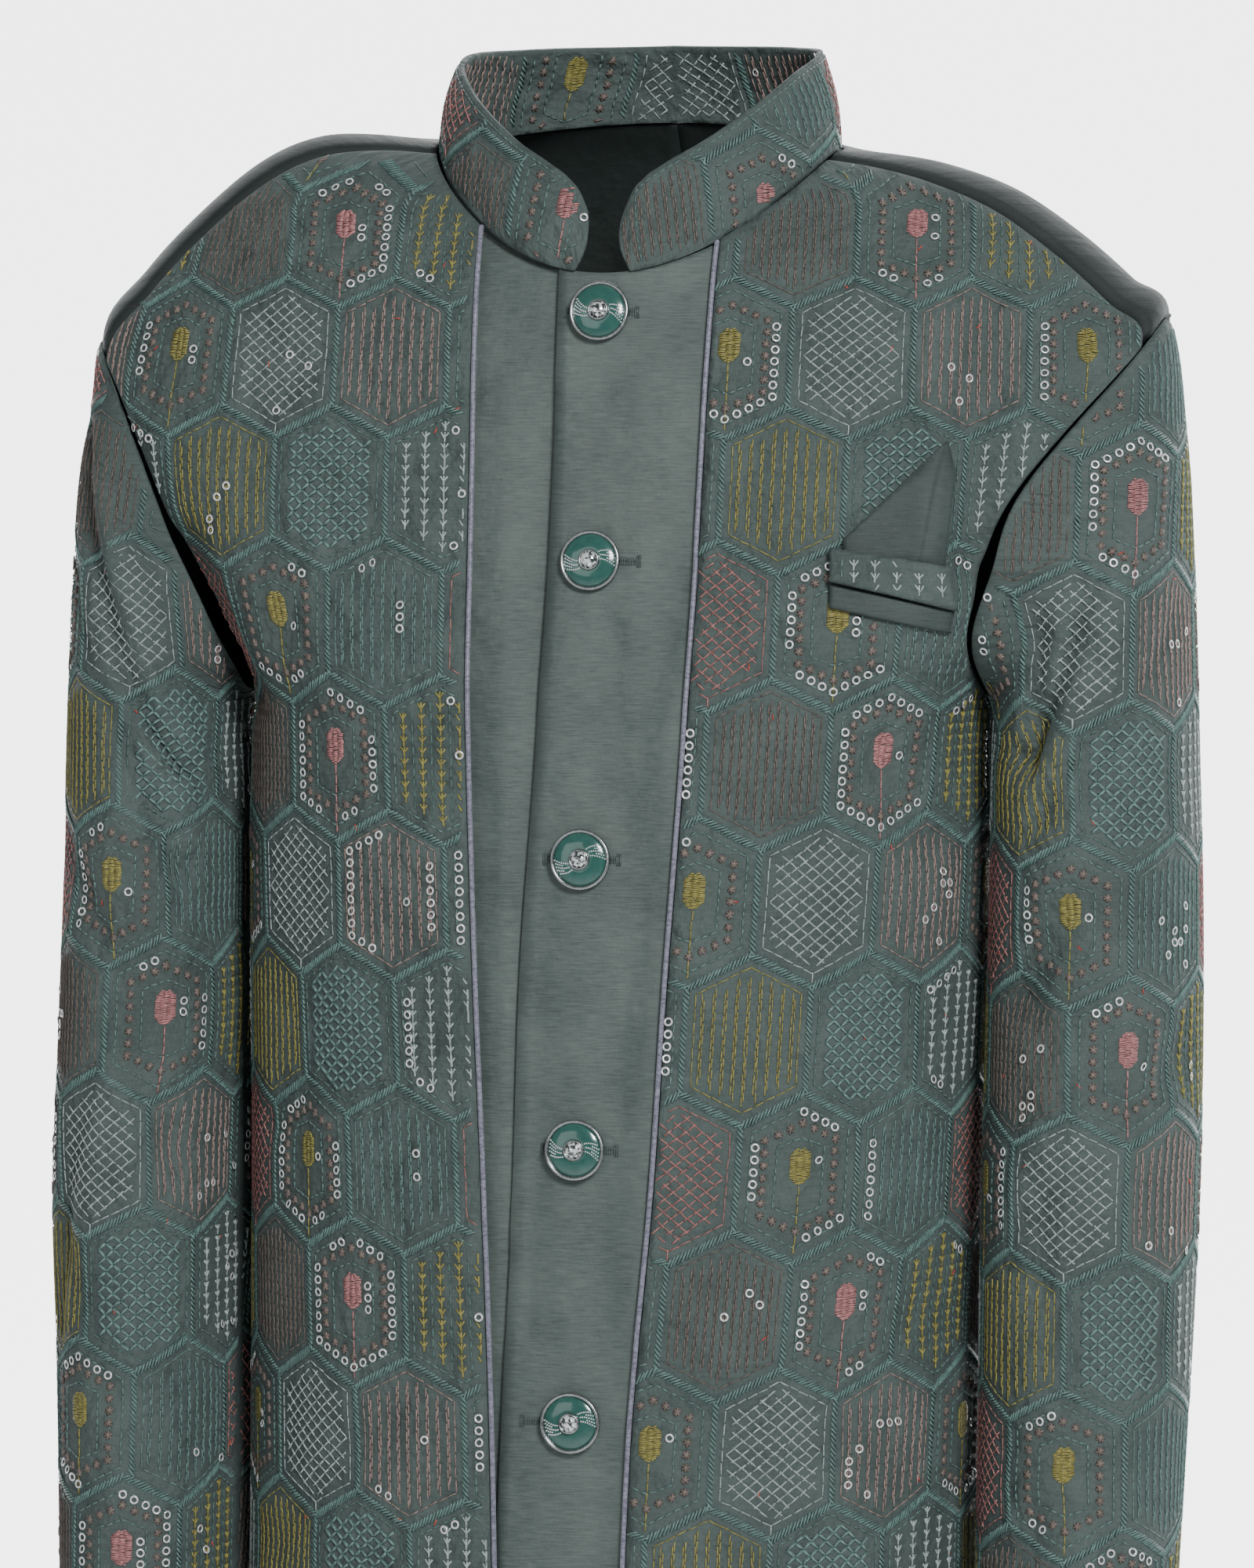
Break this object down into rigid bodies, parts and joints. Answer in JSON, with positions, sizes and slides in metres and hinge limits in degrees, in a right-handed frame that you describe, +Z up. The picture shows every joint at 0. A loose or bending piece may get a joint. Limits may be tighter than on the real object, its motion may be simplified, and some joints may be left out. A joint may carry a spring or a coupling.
{
  "type": "sherwani coat",
  "caption": "Long embroidered coat with stand collar, open over a buttoned plain inner front, worn form, hollow and open at neck, hem and cuffs.",
  "frame": {"origin": "middle of the neck opening at the collar seam, where the wearer holds the coat up", "axes": "+Z up towards the collar, the wearer faces -Y, +X is the wearer's left"},
  "size_m": [0.3474, 0.2212, 0.7115],
  "materials": {
    "embroidered_cloth": "dull green-grey silk, worked all over with thread",
    "plain_silk": "plain woven silk with a soft sheen",
    "shot_silk": "shot silk with faint red flecks and a soft sheen",
    "pale_piping": "pale lilac-grey covered cord",
    "button_enamel": "glossy teal enamel",
    "button_metal": "polished silver-coloured metal",
    "clear_stone": "clear faceted stone",
    "thread_green": "twisted embroidery thread",
    "thread_silver": "bright silver-grey thread",
    "thread_pink": "dusty pink thread",
    "thread_coral": "coral thread",
    "thread_gold": "yellow-gold thread",
    "thread_brown": "brown-grey thread",
    "sequin_silver": "small bright rings"
  },
  "bodies": {
    "root": {"back_left": "plain_silk", "back_right": "plain_silk", "front_left": "embroidered_cloth", "front_right": "embroidered_cloth", "placket_over": "shot_silk", "placket_under": "shot_silk", "sleeve_left": "embroidered_cloth", "sleeve_right": "embroidered_cloth", "collar": "embroidered_cloth", "piping_left": "pale_piping", "piping_right": "pale_piping", "pocket_welt": "embroidered_cloth", "pocket_facing": "shot_silk", "pocket_square": "shot_silk", "button_1": "button_enamel", "button_2": "button_enamel", "button_3": "button_enamel", "button_4": "button_enamel", "button_5": "button_enamel", "button_6": "button_enamel", "button_stone_1": "clear_stone", "button_stone_2": "clear_stone", "button_stone_3": "clear_stone", "button_stone_4": "clear_stone", "button_stone_5": "clear_stone", "button_stone_6": "clear_stone"}
  },
  "joints": []
}
